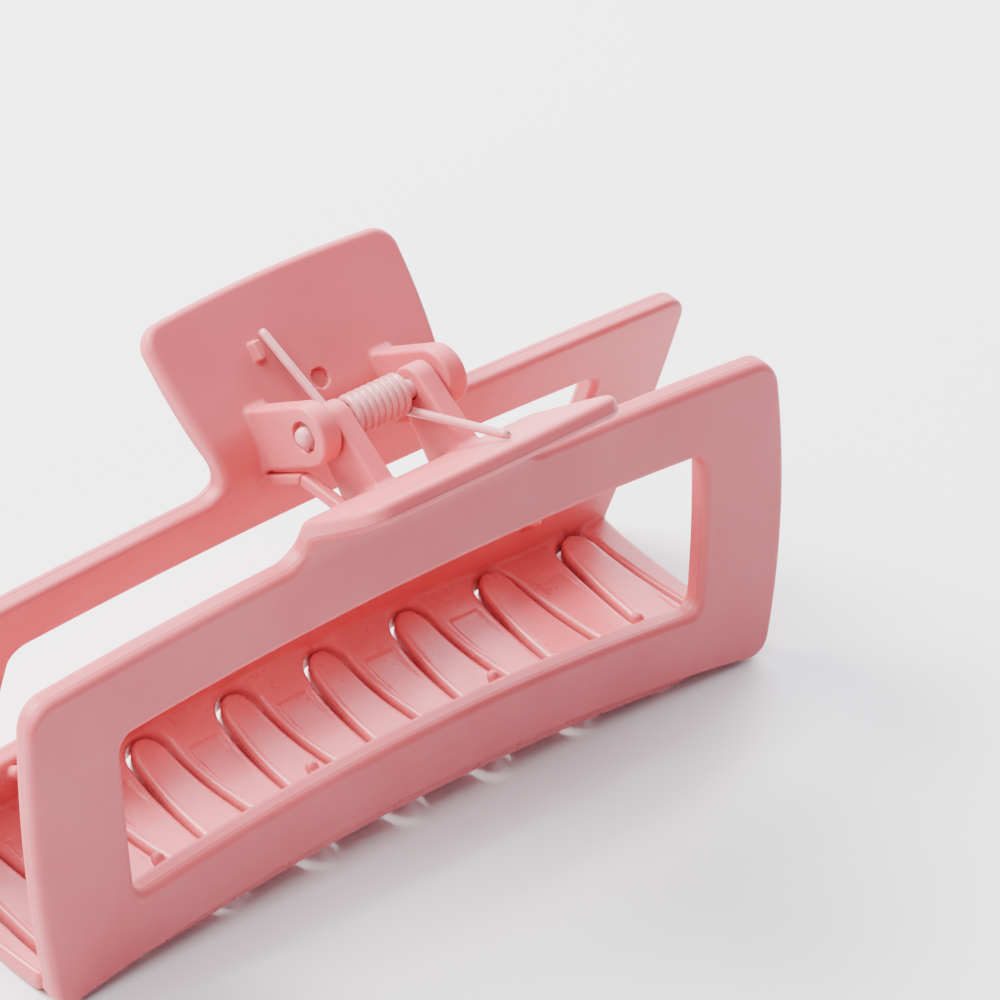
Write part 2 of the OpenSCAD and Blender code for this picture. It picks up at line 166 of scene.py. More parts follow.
PITCH = 13.6
TOOTH_T = 2.2
TOOTH_HALF = 3.05
TOOTH_R = 0.85
TAPER = 0.075                    # growth of a tooth's half width towards its root
GUM_FILLET = 2.4                 # round corner between two teeth
TIP_GAP = 0.4
MID_TIP_RISE = 3.0
END_TIP_RISE = 1.3
FOOT_CLEAR = 0.4
FOOT_HALF = 5.0                  # the teeth's undersides are flat this far each way from the middle
PANEL_DEPTH = 0.32               # sunk panel on top of each tooth
PANEL_START = 1.0
PANEL_END = 8.3
PANEL_RAMP = 7.0
PANEL_HALF = 2.3
PEG_R = 0.8
PEG_L = 2.6
REAR_PEGS = (-40.0, -16.5, 16.5, 40.0)
FRONT_PEGS = (-37.0, -14.0, 14.0, 37.0)

# ---- The wall's cylinder and the bend into the handle, as (y, z) ----
CHORD = math.hypot(WALL_H, WALL_IN)
FACE_R = CHORD ** 2 / (8 * WALL_BULGE) + WALL_BULGE / 2
CHORD_TILT = math.atan(WALL_IN / WALL_H)
FACE = np.array([HALF_W - WALL_IN / 2 - (FACE_R - WALL_BULGE) * math.cos(CHORD_TILT),
                 LIFT + WALL_H / 2 - (FACE_R - WALL_BULGE) * math.sin(CHORD_TILT)])
INNER_R = FACE_R - WALL_T


def inner_y(z):
    """Where the wall's inner face is at a height."""
    return FACE[0] + math.sqrt(INNER_R ** 2 - (z - FACE[1]) ** 2)


ROOT_Y = inner_y(LIFT)
TIP_Y = ROOT_Y - TIP_GAP
END_Y = ROOT_Y + 2.2                                     # outer end of the teeth's roots
ALONG = np.array([math.cos(LEAN), math.sin(LEAN)])       # up the blade
OUT = np.array([math.sin(LEAN), -math.cos(LEAN)])        # from its inner to its outer face
CAD_BEND_END = np.array([inner_y(TOP_Z) + BEND_R, TOP_Z]) - BEND_R * OUT
_g = CAD_BEND_END + BEND_R * OUT - FACE
SLIDE = -(_g @ ALONG) + math.sqrt((_g @ ALONG) ** 2 - _g @ _g + (INNER_R + BEND_R) ** 2)
BEND_END = CAD_BEND_END + SLIDE * ALONG                  # bend made tangent to wall and blade
BEND = BEND_END + BEND_R * OUT
JOIN_ANGLE = math.atan2(BEND[1] - FACE[1], BEND[0] - FACE[0])
JOIN_UP = np.array([-math.sin(JOIN_ANGLE), math.cos(JOIN_ANGLE)])
BEND_L = BEND_R * (JOIN_ANGLE + math.pi / 2 - LEAN)
TIP_S = BEND_L + BLADE_L + TIP_T / 2 - SLIDE             # handle's length along its inner face


def round_max(a, b, r):
    """Overlap of two fields, its outer edge rounded."""
    return np.minimum(np.maximum(a, b), -r) + np.hypot(np.maximum(a + r, 0), np.maximum(b + r, 0))


def round_min(a, b, r):
    """Union of two fields, with a fillet where they meet."""
    return np.maximum(np.minimum(a, b), r) - np.hypot(np.maximum(r - a, 0), np.maximum(r - b, 0))


def arch_r(half, drop):
    """Radius of an arc that falls by a drop over half its chord."""
    return half * half / (2 * drop) + drop / 2


def sheet_place(y, z):
    """Depth under the sheet's inner face, length along it from the bend, and its thickness there."""
    qy, qz = y - BEND[0], z - BEND[1]
    on_wall = qy * JOIN_UP[0] + qz * JOIN_UP[1] <= 0
    on_blade = qy * ALONG[0] + qz * ALONG[1] >= 0
    u_wall = np.hypot(y - FACE[0], z - FACE[1]) - INNER_R
    s_wall = (np.arctan2(z - FACE[1], y - FACE[0]) - JOIN_ANGLE) * INNER_R
    u_bend = BEND_R - np.hypot(qy, qz)
    s_bend = BEND_R * (JOIN_ANGLE + math.pi - np.mod(np.arctan2(qz, qy), 2 * math.pi))
    py, pz = y - BEND_END[0], z - BEND_END[1]
    u_blade = py * OUT[0] + pz * OUT[1]
    along = py * ALONG[0] + pz * ALONG[1]
    use_wall = on_wall & (~on_blade | (u_wall < u_blade))
    u = np.where(use_wall, u_wall, np.where(on_blade, u_blade, u_bend))
    s = np.where(use_wall, s_wall, np.where(on_blade, along + BEND_L, s_bend))
    thin = np.where(use_wall, 0, np.clip(along / BLADE_L, 0, 1))
    return u, s, WALL_T - (WALL_T - TIP_T) * thin


def under_arch(x, z, crown, drop):
    """Field of the space under an arch that falls by a drop from its crown to the corners."""
    r = arch_r(CORNER_X, drop)
    return np.hypot(x, z - crown + r) - r


def side_bow(x, z, half, mid_z, half_h, bow):
    """Field of the space between two bowed ends, widest at a height."""
    r = arch_r(half_h, bow)
    return np.hypot(np.abs(x) - half + r, z - mid_z) - r


WINDOW_LOW = LIFT + RAIL_H
WINDOW_TOP = WINDOW_LOW + WINDOW_H
WINDOW_LOW_ARCH = BOTTOM_ARCH - (BOTTOM_ARCH - TOP_ARCH) * RAIL_H / WALL_H
WINDOW_TOP_ARCH = BOTTOM_ARCH - (BOTTOM_ARCH - TOP_ARCH) * (RAIL_H + WINDOW_H) / WALL_H


def outline(x, z, s):
    """Outline of the frame, its window and the handle, as a field."""
    ends = side_bow(x, z, HALF_L, WIDEST_Z, WIDEST_Z - LIFT + BOTTOM_ARCH, END_BOW)
    body = round_max(under_arch(x, z, TOP_Z, TOP_ARCH), ends, BODY_TOP_R)
    body = round_max(body, -under_arch(x, z, LIFT, BOTTOM_ARCH), BODY_LOW_R)
    up = np.clip((s - FLARE_START) / (TIP_S - FLARE_START), 0, 1)
    half = NECK_HALF + (TIP_HALF - NECK_HALF) * (1 - (1 - up) ** FLARE_POWER)
    tip = s - TIP_S + TIP_CROWN * np.square(np.minimum(np.abs(x) / half, 1))
    handle = round_max(np.abs(x) - half, tip, HANDLE_R)
    body = round_min(body, np.maximum(handle, -s - HANDLE_ROOT), NECK_FILLET)
    window = np.maximum(under_arch(x, z, WINDOW_TOP, WINDOW_TOP_ARCH),
                        -under_arch(x, z, WINDOW_LOW, WINDOW_LOW_ARCH))
    below_widest = WINDOW_WIDEST_Z - WINDOW_LOW + WINDOW_LOW_ARCH
    sides = side_bow(x, z, WINDOW_HALF, WINDOW_WIDEST_Z, below_widest, WINDOW_TAPER)
    window = round_max(window, sides, WINDOW_R)
    return np.maximum(body, -window)


def lug_wedge(y, z, nose_r, up_tilt, low_tilt):
    """Side view of a lug: a round nose about the pin that spreads to the handle."""
    qy, qz = y, z - PIN_Z
    up = np.array([math.sin(up_tilt), math.cos(up_tilt)])
    down = -np.array([math.sin(low_tilt), math.cos(low_tilt)])
    nose = (up[0] * qz - up[1] * qy >= 0) & (qy * down[1] - qz * down[0] >= 0)
    flat = np.maximum(qy * up[0] + qz * up[1], qy * down[0] + qz * down[1])
    return np.where(nose, np.hypot(qy, qz), flat) - nose_r


def slab(v, a, b):
    """Field of the space between two values."""
    return np.abs(v - (a + b) / 2) - (b - a) / 2


def teeth_field(x, y, z, count, end_teeth):
    """The row of curved teeth, joined along their roots."""
    away = np.square(x / CORNER_X)
    climb = np.maximum(0.8, LIFT - BOTTOM_ARCH * away + 0.6 - FOOT_CLEAR - TOOTH_T)
    rise = MID_TIP_RISE - (MID_TIP_RISE - END_TIP_RISE) * away
    shift = 0.5 * (count + 1) % 1
    index = np.clip(np.round(x / PITCH - shift), -(count // 2), (count - 1) // 2) + shift
    rel = x - index * PITCH
    root = np.maximum(y, 0) / ROOT_Y
    under = np.maximum(y - FOOT_HALF, 0) / (END_Y - FOOT_HALF)
    tip = np.maximum(-y, 0) / TIP_Y
    tip_under = np.maximum(-y - FOOT_HALF, 0) / TIP_Y
    panel = PANEL_DEPTH * np.clip((y - PANEL_START) / PANEL_RAMP, 0, 1)
    panel = panel * np.clip((PANEL_END - y) / 0.25, 0, 1)
    panel = panel * np.clip((PANEL_HALF - np.abs(rel)) / 0.3, 0, 1)
    upper = FOOT_CLEAR + TOOTH_T + climb * root ** 3 + (rise - 0.5) * tip ** 2 - panel
    lower = FOOT_CLEAR + climb * under ** 3 + rise * tip_under ** 2
    slope = 3 * climb * root ** 2 / ROOT_Y
    section = (np.abs(z - (upper + lower) / 2) - (upper - lower) / 2) / np.sqrt(1 + slope ** 2)
    section = np.maximum(section, y - END_Y)
    half_tip = TOOTH_HALF - TAPER * TIP_Y
    plan = np.abs(rel) - TOOTH_HALF - TAPER * y
    round_tip = np.hypot(rel, y + TIP_Y - half_tip) - half_tip
    plan = np.where(y < half_tip - TIP_Y, round_tip, plan)
    last = ((count - 1) / 2 + 0.5) * PITCH
    gums = np.maximum(ROOT_Y - 0.2 - y, np.abs(x) - last)
    teeth = round_max(section, round_min(plan, gums, GUM_FILLET), TOOTH_R)
    if end_teeth:
        inner = 3.5 * PITCH + TOOTH_HALF + 0.6 - TAPER * y
        broad = round_max(slab(np.abs(x), inner, CORNER_X - 0.1), -TIP_Y - y, 0.8)
        upper = TOOTH_T + 0.8 * root ** 3 + (END_TIP_RISE - 0.5) * tip ** 2
        lower = END_TIP_RISE * tip_under ** 2
        section = np.abs(z - (upper + lower) / 2) - (upper - lower) / 2
        foot = round_max(np.maximum(section, y - END_Y), broad, 0.8)
        teeth = np.minimum(teeth, foot)
    return teeth


def pegs_field(x, y, z, places):
    """Round-ended pegs that slant up and inwards from the bottom rail's inner face."""
    out = np.full(np.broadcast(x, y, z).shape, 9.0, dtype=np.float32)
    for px in places:
        pz = WINDOW_LOW - WINDOW_LOW_ARCH * (px / CORNER_X) ** 2 - 2.2
        qy, qz = y - inner_y(pz), z - pz
        along = np.clip((qz - qy) / math.sqrt(2), -1, PEG_L - PEG_R)
        peg = np.sqrt(np.square(x - px) + np.square(qy + along / math.sqrt(2))
                      + np.square(qz - along / math.sqrt(2))) - PEG_R
        out = np.minimum(out, peg)
    return out


def jaw_field(x, y, z, rear):
    """One jaw with its handle on the +Y side: its field, the bare sheet's field, the depth from the
    sheet's middle, and the teeth's field."""
    u, s, t = sheet_place(y, z)
    sheet = round_max(np.abs(u - t / 2) - t / 2, outline(x, z, s), EDGE_R)
    ax = np.abs(x)
    if rear:
        side = lug_wedge(y, z, NOSE_R, LUG_TILT, LUG_TILT)
        lugs = round_max(side, slab(ax, LUG_START, LUG_END), LUG_EDGE_R)
    else:
        side = lug_wedge(y, z, INNER_NOSE_R, INNER_LUG_TILT, LUG_FLARE)
        lugs = round_max(side, slab(ax, INNER_LUG_END - LUG_T, INNER_LUG_END), LUG_EDGE_R)
    lugs = np.maximum(lugs, u - 1)
    body = round_min(sheet, lugs, LUG_FILLET)
    slope = STOP_SLOPE if rear else 0.0
    rib = (z - PIN_Z + STOP_DROP) * math.cos(slope) + y * math.sin(slope)
    across = slab(ax, LUG_END - 0.1 - STOP_W, LUG_END - 0.1)
    stop = round_max(across, np.abs(rib) - STOP_T / 2 * math.cos(slope), SMALL_R)
    stop = np.maximum(round_max(stop, STOP_FACE - y, SMALL_R), u - 1)
    body = round_min(body, stop, SMALL_R)
    teeth = teeth_field(x, y, z, 7 if rear else 8, rear)
    body = round_min(body, teeth, TOOTH_FILLET)
    body = round_min(body, pegs_field(x, y, z, REAR_PEGS if rear else FRONT_PEGS), SMALL_R)
    from_pin = np.hypot(y, z - PIN_Z)
    if rear:
        tab_s = BEND_L - SLIDE + REAR_REACH
        tab_x = REAR_TURN_X - 1.65
        tab = round_max(slab(x, tab_x - 0.6, tab_x + 0.6), slab(s, tab_s - 3.1, tab_s - 0.7), SMALL_R)
        body = round_min(body, np.maximum(round_max(tab, -u - 1.2, SMALL_R), u - 1), 0.25)
        mark = np.hypot(x - MARK_X, s - BEND_L + SLIDE - MARK_S) - MARK_R
        mark = np.maximum(mark, np.abs(u) - MARK_DEPTH)
        body = round_max(body, -mark, 0.12)
        head = np.maximum(from_pin - HEAD_R, LUG_END - HEAD_DEPTH - ax)
        body = round_max(body, -head, 0.15)
        body = np.maximum(body, PIN_R - from_pin + 0.02)
    else:
        body = np.maximum(body, PIN_R - from_pin + 0.05)
    return body, sheet, u - t / 2, teeth


# ---- Field to mesh ----
STEP = 0.3
CORNERS = np.array([[i, j, k] for i in (0, 1) for j in (0, 1) for k in (0, 1)])
CELL_EDGES = [(a, b) for a in range(8) for b in range(a + 1, 8)
              if np.abs(CORNERS[a] - CORNERS[b]).sum() == 1]


def sample(rear, lows, counts):
    """The field on a regular grid, worked out a few planes at a time."""
    xs, ys, zs = (low_edge + STEP * np.arange(n, dtype=np.float32) for low_edge, n in zip(lows, counts))
    grid = np.empty(counts, dtype=np.float32)
    planes = 16
    for i in range(0, counts[0], planes):
        slice_xs = xs[i:i + planes, None, None]
        grid[i:i + planes] = jaw_field(slice_xs, ys[None, :, None], zs[None, None, :], rear)[0]
    return grid


def surface_net(grid, lows):
    """One vertex per cell that the surface crosses, one quad per grid edge that it crosses."""
    inside = grid < 0
    cells = tuple(n - 1 for n in grid.shape)
    total = np.zeros(cells, dtype=np.int8)
    for i, j, k in CORNERS:
        total += inside[i:i + cells[0], j:j + cells[1], k:k + cells[2]]
    at = np.argwhere((total > 0) & (total < 8))
    values = np.stack([grid[tuple((at + c).T)] for c in CORNERS], axis=1)
    place = np.zeros((len(at), 3))
    hits = np.zeros(len(at))
    for a, b in CELL_EDGES:
        va, vb = values[:, a], values[:, b]
        cross = (va < 0) != (vb < 0)
        w = np.where(cross, va / np.where(cross, va - vb, 1), 0)[:, None]
        place += cross[:, None] * (CORNERS[a] * (1 - w) + CORNERS[b] * w)
        hits += cross
    points = lows + STEP * (at + place / hits[:, None])
    number = np.full(cells, -1, dtype=np.int32)
    number[tuple(at.T)] = np.arange(len(at))
    quads = []
    for axis in range(3):
        b, c = (axis + 1) % 3, (axis + 2) % 3
        first = np.take(inside, range(grid.shape[axis] - 1), axis)
        second = np.take(inside, range(1, grid.shape[axis]), axis)
        edge = np.argwhere(first != second)
        eb, ec = edge[:, b], edge[:, c]
        edge = edge[(eb > 0) & (ec > 0) & (eb < cells[b]) & (ec < cells[c])]
        ring = []
        for db, dc in ((1, 1), (0, 1), (0, 0), (1, 0)):
            cell = edge.copy()
            cell[:, b] -= db
            cell[:, c] -= dc
            ring.append(number[tuple(cell.T)])
        ring = np.stack(ring, axis=1)
        flip = ~first[tuple(edge.T)]
        ring[flip] = ring[flip][:, ::-1]
        quads.append(ring)
    return points, np.concatenate(quads)


def gradient(points, rear):
    """Direction in which the field grows fastest."""
    h = 0.02
    parts = []
    for axis in range(3):
        ahead, behind = points.copy(), points.copy()
        ahead[:, axis] += h
        behind[:, axis] -= h
        parts.append(jaw_field(*ahead.T, rear)[0] - jaw_field(*behind.T, rear)[0])
    g = np.stack(parts, axis=1) / (2 * h)
    return g / np.maximum(np.linalg.norm(g, axis=1), 1e-6)[:, None]


def mesh_object(name, points, quads, normals=None):
    """A smooth mesh object from points in millimetres."""
    mesh = bpy.data.meshes.new(name)
    mesh.vertices.add(len(points))
    mesh.vertices.foreach_set("co", (points * MM).astype(np.float32).ravel())
    mesh.loops.add(quads.size)
    mesh.loops.foreach_set("vertex_index", quads.astype(np.int32).ravel())
    mesh.polygons.add(len(quads))
    mesh.polygons.foreach_set("loop_start", np.arange(0, quads.size, quads.shape[1], dtype=np.int32))
    mesh.polygons.foreach_set("use_smooth", np.ones(len(quads), dtype=bool))
    mesh.update(calc_edges=True)
    mesh.validate()
    if normals is not None:
        mesh.normals_split_custom_set_from_vertices(normals.tolist())
    obj = bpy.data.objects.new(name, mesh)
    bpy.context.scene.collection.objects.link(obj)
    return obj


def add_attribute(obj, name, values):
    """A value per vertex, for the material to read."""
    attribute = obj.data.attributes.new(name, "FLOAT", "POINT")
    attribute.data.foreach_set("value", np.asarray(values, dtype=np.float32))


def make_jaw(name, rear):
    """Mesh of one jaw, with what its material reads: seam depth, bare sheet and teeth."""
    reach = high("rear_handle", Y)
    lows = np.array([-HALF_L - 2 * STEP, -TIP_Y - 3 * STEP, -2 * STEP])
    handle_top = high("rear_handle" if rear else "front_handle", Z)
    highs = np.array([HALF_L + 2 * STEP, reach + 2 * STEP, handle_top + 2 * STEP])
    counts = tuple(int(n) for n in np.ceil((highs - lows) / STEP) + 1)
    grid = sample(rear, lows, counts)
    points, quads = surface_net(grid, lows)
    for _ in range(2):                                   # two steps bring the points onto the field
        value = jaw_field(*points.T, rear)[0]
        points = points - np.clip(value, -STEP / 2, STEP / 2)[:, None] * gradient(points, rear)
    normals = gradient(points, rear)
    body, sheet, depth, teeth = jaw_field(*points.T, rear)
    if not rear:
        points[:, Y] *= -1
        normals[:, Y] *= -1
        quads = quads[:, ::-1]
    obj = mesh_object(name, points, quads, normals)
    add_attribute(obj, "seam", depth - SEAM_DEPTH)
    add_attribute(obj, "plain", np.clip(1 - (sheet - body - 0.02) / 0.05, 0, 1))
    add_attribute(obj, "tooth", np.clip(1 - (teeth - body) / 0.6, 0, 1))
    return obj


# ---- Pin and spring ----
TUBE_SIDES = 20


def lathe(name, profile, sides=96):
    """Surface of revolution about the pin's axis; profile is a list of (x, radius)."""
    profile = np.array(profile)
    angle = np.linspace(0, 2 * math.pi, sides, endpoint=False)
    rings = [np.stack([np.full(sides, px), r * np.cos(angle), PIN_Z + r * np.sin(angle)], axis=1)
             for px, r in profile]
    points = np.concatenate(rings)
    i = np.arange(len(profile) - 1)[:, None] * sides
    j = np.arange(sides)[None, :]
    k = (j + 1) % sides
    quads = np.stack([i + j, i + k, i + sides + k, i + sides + j], axis=-1).reshape(-1, 4)
    return mesh_object(name, points, quads)


def make_pin():
    """The pin, with a small shoulder and a dome at each end."""
    dome = 0.6
    steps = 12
    end = []
    for i in range(steps + 1):
        a = math.pi / 2 * i / steps
        end.append((PIN_HALF - dome + dome * math.sin(a), max(1e-3, (PIN_R - 0.12) * math.cos(a) ** 0.8)))
    shoulder = [(PIN_HALF - dome - 0.25, PIN_R - 0.01), (PIN_HALF - dome - 0.08, PIN_R - 0.05)]
    half = [(0, PIN_R - 0.01), (PIN_HALF - 3, PIN_R - 0.01)] + shoulder + end
    profile = [(-x, r) for x, r in reversed(half[1:])] + half
    return lathe("pin", profile)


def tube(name, path, r):
    """Round tube along a path, its frame carried along without twisting, with closed ends."""
    sides = TUBE_SIDES
    path = np.array(path)
    tangent = np.gradient(path, axis=0)
    tangent /= np.linalg.norm(tangent, axis=1)[:, None]
    side = np.cross(tangent[0], [1.0, 0, 0])
    side /= np.linalg.norm(side)
    rings = []
    angle = np.linspace(0, 2 * math.pi, sides, endpoint=False)
    radii = np.full(len(path), r)
    radii[[0, -1]] = r * 0.8
    for p, t, rr in zip(path, tangent, radii):
        side = side - t * (side @ t)
        side /= np.linalg.norm(side)
        other = np.cross(t, side)
        rings.append(p + rr * (np.cos(angle)[:, None] * side + np.sin(angle)[:, None] * other))
    n = len(path)
    points = np.concatenate(rings + [path[:1], path[-1:]])
    i = np.arange(n - 1)[:, None] * sides
    j = np.arange(sides)[None, :]
    k = (j + 1) % sides
    quads = np.stack([i + j, i + sides + j, i + sides + k, i + k], axis=-1).reshape(-1, 4)
    j, k = j.ravel(), k.ravel()
    first = np.stack([np.full(sides, n * sides), j, k, k], axis=1)
    base = (n - 1) * sides
    last = np.stack([np.full(sides, n * sides + 1), base + k, base + j, base + j], axis=1)
    faces = [tuple(q) for q in quads] + [tuple(q[:3]) for q in first] + [tuple(q[:3]) for q in last]
    mesh = bpy.data.meshes.new(name)
    mesh.from_pydata((points * MM).tolist(), [], faces)
    mesh.validate()
    mesh.polygons.foreach_set("use_smooth", np.ones(len(mesh.polygons), dtype=bool))
    mesh.update()
    obj = bpy.data.objects.new(name, mesh)
    bpy.context.scene.collection.objects.link(obj)
    return obj


def leg_geometry(reach):
    """Slope and end point (y, z from the pin) of a leg that rests on the blade on the +Y side."""
    end = CAD_BEND_END + reach * ALONG - (WIRE_R + 0.02) * OUT - np.array([0, PIN_Z])
    slope = math.atan2(end[1], end[0]) + math.asin(COIL_R / math.hypot(*end))
    return slope, end


def make_spring():
    """The coil as one helix, with a straight leg at each end that leaves its underside."""
    length = FRONT_TURN_X - REAR_TURN_X
    rear_slope, rear_end = leg_geometry(REAR_REACH)
    front_slope, front_end = leg_geometry(FRONT_REACH)
    start = -math.pi / 2 + rear_slope
    stop = -math.pi / 2 - front_slope - 2 * math.pi * (COIL_TURNS + 1)
    steps = COIL_TURNS * 56
    helix = []
    for i in range(steps + 1):
        w = i / steps
        a = start + (stop - start) * w
        helix.append((REAR_TURN_X + length * w, COIL_R * math.cos(a), PIN_Z + COIL_R * math.sin(a)))
    leg_steps = 24
    rear_tip = np.array([REAR_TURN_X, rear_end[0], PIN_Z + rear_end[1]])
    front_tip = np.array([FRONT_TURN_X, -front_end[0], PIN_Z + front_end[1]])
    rear_leg = [rear_tip + (np.array(helix[0]) - rear_tip) * i / leg_steps for i in range(leg_steps)]
    front_leg = [np.array(helix[-1]) + (front_tip - np.array(helix[-1])) * i / leg_steps
                 for i in range(1, leg_steps + 1)]
    return tube("spring", rear_leg + helix + front_leg, WIRE_R)


# ---- Materials ----
def node(tree, kind, **settings):
    """A shader node with some of its settings."""
    n = tree.nodes.new(kind)
    for key, value in settings.items():
        setattr(n, key, value)
    return n


def new_material(name):
    """An empty material, its node tree and its main shader."""
    material = bpy.data.materials.new(name)
    material.use_nodes = True
    tree = material.node_tree
    shader = tree.nodes["Principled BSDF"]
    return material, tree, shader


def noise(tree, scale, detail=3.0):
    """Noise over the object's own coordinates."""
    where = tree.nodes.get("where")
    if where is None:
        where = node(tree, "ShaderNodeTexCoord", name="where")
    n = node(tree, "ShaderNodeTexNoise")
    n.inputs["Scale"].default_value = scale
    n.inputs["Detail"].default_value = detail
    n.inputs["Roughness"].default_value = 0.55
    tree.links.new(where.outputs["Object"], n.inputs["Vector"])
    return n.outputs["Fac"]


def ramp(tree, source, low_in, high_in, low_out, high_out):
    """A range of one value turned into another range, and held at its ends."""
    n = node(tree, "ShaderNodeMapRange")
    n.inputs["From Min"].default_value = low_in
    n.inputs["From Max"].default_value = high_in
    n.inputs["To Min"].default_value = low_out
    n.inputs["To Max"].default_value = high_out
    tree.links.new(source, n.inputs["Value"])
    return n.outputs["Result"]


def feed(tree, socket, value):
    """Give a socket a fixed value or another node's output."""
    if hasattr(value, "is_linked"):
        tree.links.new(value, socket)
    else:
        socket.default_value = value


def mix_colour(tree, factor, a, b):
    """Colour a where the factor is 0 and b where it is 1."""
    n = node(tree, "ShaderNodeMix", data_type="RGBA")
    feed(tree, n.inputs[0], factor)
    feed(tree, n.inputs[6], a)
    feed(tree, n.inputs[7], b)
    return n.outputs[2]


def maths(tree, operation, a, b):
    n = node(tree, "ShaderNodeMath", operation=operation)
    feed(tree, n.inputs[0], a)
    feed(tree, n.inputs[1], b)
    return n.outputs[0]


def bumped(tree, height, strength, distance, before=None):
    """Bump from a height of 0 to 1, its distance in metres, on top of an earlier bump."""
    n = node(tree, "ShaderNodeBump")
    n.inputs["Strength"].default_value = strength
    n.inputs["Distance"].default_value = distance
    tree.links.new(height, n.inputs["Height"])
    if before is not None:
        tree.links.new(before, n.inputs["Normal"])
    return n.outputs["Normal"]


PINK = (0.60, 0.098, 0.115, 1)
PINK_DEEP = (0.53, 0.068, 0.08, 1)
PINK_PALE = (0.64, 0.122, 0.142, 1)
# painted shade: darker pink laid along the parting line, standing in for the shade on the raised seam
SEAM_SHADE = (0.30, 0.07, 0.09, 1)
SPECK = (0.16, 0.05, 0.06, 1)
PIN_PINK = (0.60, 0.185, 0.21, 1)
PIN_PALE = (0.68, 0.25, 0.28, 1)
SPRING_PINK = (0.56, 0.17, 0.18, 1)
SPRING_PALE = (0.63, 0.23, 0.245, 1)


def jaw_material():
    """Matte pink with faint clouds, a parting line on the rims darkened with painted shade, a few specks
    and glossier teeth.
    """
    material, tree, shader = new_material("soft_touch_pink")
    colour = mix_colour(tree, ramp(tree, noise(tree, 60), 0.35, 0.65, 0, 1), PINK, PINK_PALE)
    colour = mix_colour(tree, ramp(tree, noise(tree, 22, 2), 0.45, 0.75, 0, 0.35), colour, PINK_DEEP)
    depth = node(tree, "ShaderNodeAttribute", attribute_name="seam").outputs["Fac"]
    seam = maths(tree, "ABSOLUTE", depth, 0.0)
    plain = node(tree, "ShaderNodeAttribute", attribute_name="plain").outputs["Fac"]
    line = maths(tree, "MULTIPLY", ramp(tree, seam, 0.03, 0.09, 1, 0), plain)
    # painted shade: the raised parting line, a real ridge bumped below, is also darkened in colour
    colour = mix_colour(tree, maths(tree, "MULTIPLY", line, 0.55), colour, SEAM_SHADE)
    specks = node(tree, "ShaderNodeTexVoronoi")
    specks.inputs["Scale"].default_value = 55
    tree.links.new(tree.nodes["where"].outputs["Object"], specks.inputs["Vector"])
    dot = ramp(tree, specks.outputs["Distance"], 0.012, 0.02, 1, 0)
    rare = ramp(tree, noise(tree, 40, 1), 0.60, 0.62, 0, 1)
    colour = mix_colour(tree, maths(tree, "MULTIPLY", dot, rare), colour, SPECK)
    tree.links.new(colour, shader.inputs["Base Color"])
    tooth = node(tree, "ShaderNodeAttribute", attribute_name="tooth").outputs["Fac"]
    matte = ramp(tree, noise(tree, 400, 4), 0.3, 0.7, 0.42, 0.52)
    gloss = ramp(tree, tooth, 0, 1, 0, -0.17)
    tree.links.new(maths(tree, "ADD", matte, gloss), shader.inputs["Roughness"])
    shader.inputs["Subsurface Weight"].default_value = 0.35
    shader.inputs["Subsurface Radius"].default_value = (1.0, 0.32, 0.25)
    shader.inputs["Subsurface Scale"].default_value = 0.0016
    shader.inputs["Specular IOR Level"].default_value = 0.42
    grain = bumped(tree, noise(tree, 2600, 3), 0.12, 0.00006)
    waves = bumped(tree, noise(tree, 70, 2), 0.08, 0.00012, grain)
    ridge = bumped(tree, line, 0.6, 0.00008, waves)
    tree.links.new(ridge, shader.inputs["Normal"])
    return material


def paint_material(name, colour, pale, roughness):
    """Satin paint with small darker chips."""
    material, tree, shader = new_material(name)
    mixed = mix_colour(tree, ramp(tree, noise(tree, 300), 0.4, 0.6, 0, 1), colour, pale)
    chips = ramp(tree, noise(tree, 900, 4), 0.70, 0.74, 0, 1)
    mixed = mix_colour(tree, maths(tree, "MULTIPLY", chips, 0.35), mixed, PINK_DEEP)
    tree.links.new(mixed, shader.inputs["Base Color"])
    rough = ramp(tree, noise(tree, 700, 3), 0.3, 0.7, roughness - 0.06, roughness + 0.08)
    tree.links.new(rough, shader.inputs["Roughness"])
    shader.inputs["Coat Weight"].default_value = 0.15
    tree.links.new(bumped(tree, noise(tree, 1500, 3), 0.3, 0.00005), shader.inputs["Normal"])
    return material


def cut_wire_material():
    """Bare metal at the spring's cut end."""
    material, tree, shader = new_material("cut_wire")
    shader.inputs["Metallic"].default_value = 0.9
    colour = mix_colour(tree, noise(tree, 2000), (0.45, 0.36, 0.34, 1), (0.75, 0.66, 0.62, 1))
    tree.links.new(colour, shader.inputs["Base Color"])
    shader.inputs["Roughness"].default_value = 0.45
    return material


def floor_material():
    """A pale table with a faint grain."""
    material, tree, shader = new_material("pale_table")
    colour = mix_colour(tree, ramp(tree, noise(tree, 9, 4), 0.3, 0.7, 0, 1),
                        (0.90, 0.90, 0.92, 1), (0.94, 0.94, 0.95, 1))
    tree.links.new(colour, shader.inputs["Base Color"])
    shader.inputs["Roughness"].default_value = 0.42
    tree.links.new(bumped(tree, noise(tree, 180, 4), 0.15, 0.0002), shader.inputs["Normal"])
    return material


# ---- Assembly ----
rear_jaw = make_jaw("rear_jaw_moulding", True)
front_jaw = make_jaw("front_jaw_moulding", False)
pin = make_pin()
spring = make_spring()

plastic = jaw_material()
for jaw in (rear_jaw, front_jaw):
    jaw.data.materials.append(plastic)
pin.data.materials.append(paint_material("pin_paint", PIN_PINK, PIN_PALE, 0.36))
spring.data.materials.append(paint_material("spring_paint", SPRING_PINK, SPRING_PALE, 0.34))
spring.data.materials.append(cut_wire_material())
for face in spring.data.polygons[-TUBE_SIDES:]:      # the cut end of the front leg
    face.material_index = 1

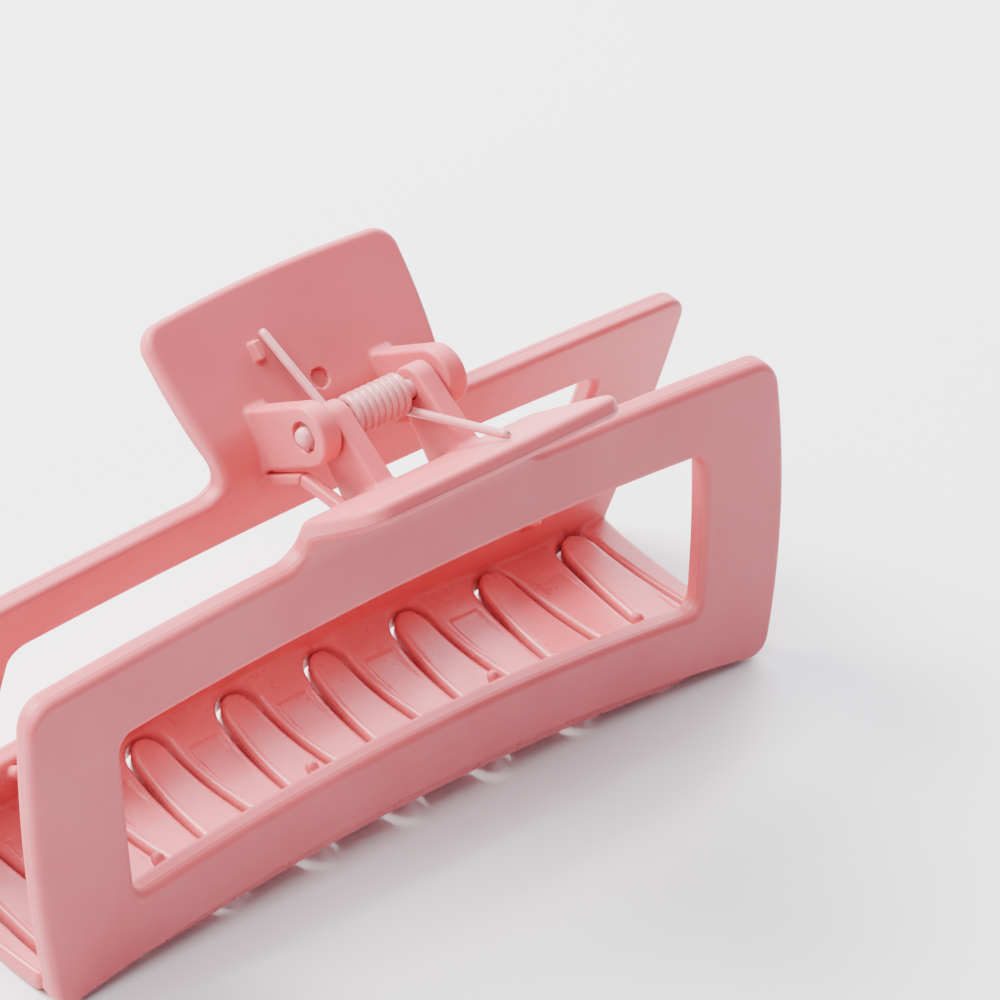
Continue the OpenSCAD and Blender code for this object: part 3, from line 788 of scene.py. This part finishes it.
bodies = frame["record"]["behaviour"]["bodies"]
for jaw, body in ((rear_jaw, "rear_jaw"), (front_jaw, "front_jaw")):
    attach(jaw, body)
    moulded = [n for n in bodies[body] if not n.startswith(("spring", "hinge_pin"))]
    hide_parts(*moulded)
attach(pin, "rear_jaw")
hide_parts("hinge_pin")
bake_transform(spring)
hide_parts("spring_coil", "spring_rear_leg", "spring_front_leg")


# ---- Floor, light and camera ----
def plane(name, size, material):
    """A square on the ground, reaching a size each way from its middle."""
    mesh = bpy.data.meshes.new(name)
    corners = [(-size, -size, 0), (size, -size, 0), (size, size, 0), (-size, size, 0)]
    mesh.from_pydata(corners, [], [(0, 1, 2, 3)])
    mesh.materials.append(material)
    obj = bpy.data.objects.new(name, mesh)
    bpy.context.scene.collection.objects.link(obj)
    return obj


floor = plane("floor", 3.0, floor_material())
floor.location.z = cad_box[0][Z] - 0.00002


def area_light(name, aim, place, size, power, colour):
    """A rectangular light at a place, turned to what it aims at."""
    light = bpy.data.lights.new(name, "AREA")
    light.shape = "RECTANGLE"
    light.size, light.size_y = size
    light.energy = power
    light.color = colour
    obj = bpy.data.objects.new(name, light)
    obj.location = place
    obj.rotation_euler = (Vector(aim) - Vector(place)).to_track_quat("-Z", "Y").to_euler()
    bpy.context.scene.collection.objects.link(obj)


CENTRE = (0, 0, 0.03)
area_light("window", CENTRE, (-0.35, 0.75, 0.75), (0.7, 0.5), 50.0, (1.0, 0.98, 0.98))
area_light("sky", CENTRE, (-0.5, 0.0, 1.0), (0.9, 0.9), 14.0, (0.96, 0.97, 1.0))
area_light("backdrop", CENTRE, (0.75, 0.70, 0.62), (1.3, 0.9), 34.0, (0.93, 0.90, 1.0))

world = bpy.data.worlds.new("studio")
world.use_nodes = True
world.node_tree.nodes["Background"].inputs["Color"].default_value = (0.92, 0.92, 1.0, 1)
world.node_tree.nodes["Background"].inputs["Strength"].default_value = 0.36
bpy.context.scene.world = world


def add_camera():
    """The camera looks down from the front left, turned a little about its own axis."""
    aim = Vector((22.2, 0, 27.9)) * MM
    towards_left = math.radians(47.0)
    elevation = math.radians(37.32)
    roll = math.radians(7.39)
    distance = 858.7 * MM
    flat = math.cos(elevation)
    away = Vector((-flat * math.sin(towards_left), -flat * math.cos(towards_left), math.sin(elevation)))
    camera = bpy.data.cameras.new("camera")
    camera.sensor_width = 36
    camera.lens = 267.7
    camera.clip_start = 0.05
    camera.clip_end = 20
    obj = bpy.data.objects.new("camera", camera)
    turn = away.to_track_quat("Z", "Y").to_matrix() @ Matrix.Rotation(roll, 3, "Z")
    obj.matrix_world = Matrix.Translation(aim + away * distance) @ turn.to_4x4()
    bpy.context.scene.collection.objects.link(obj)
    bpy.context.scene.camera = obj


add_camera()
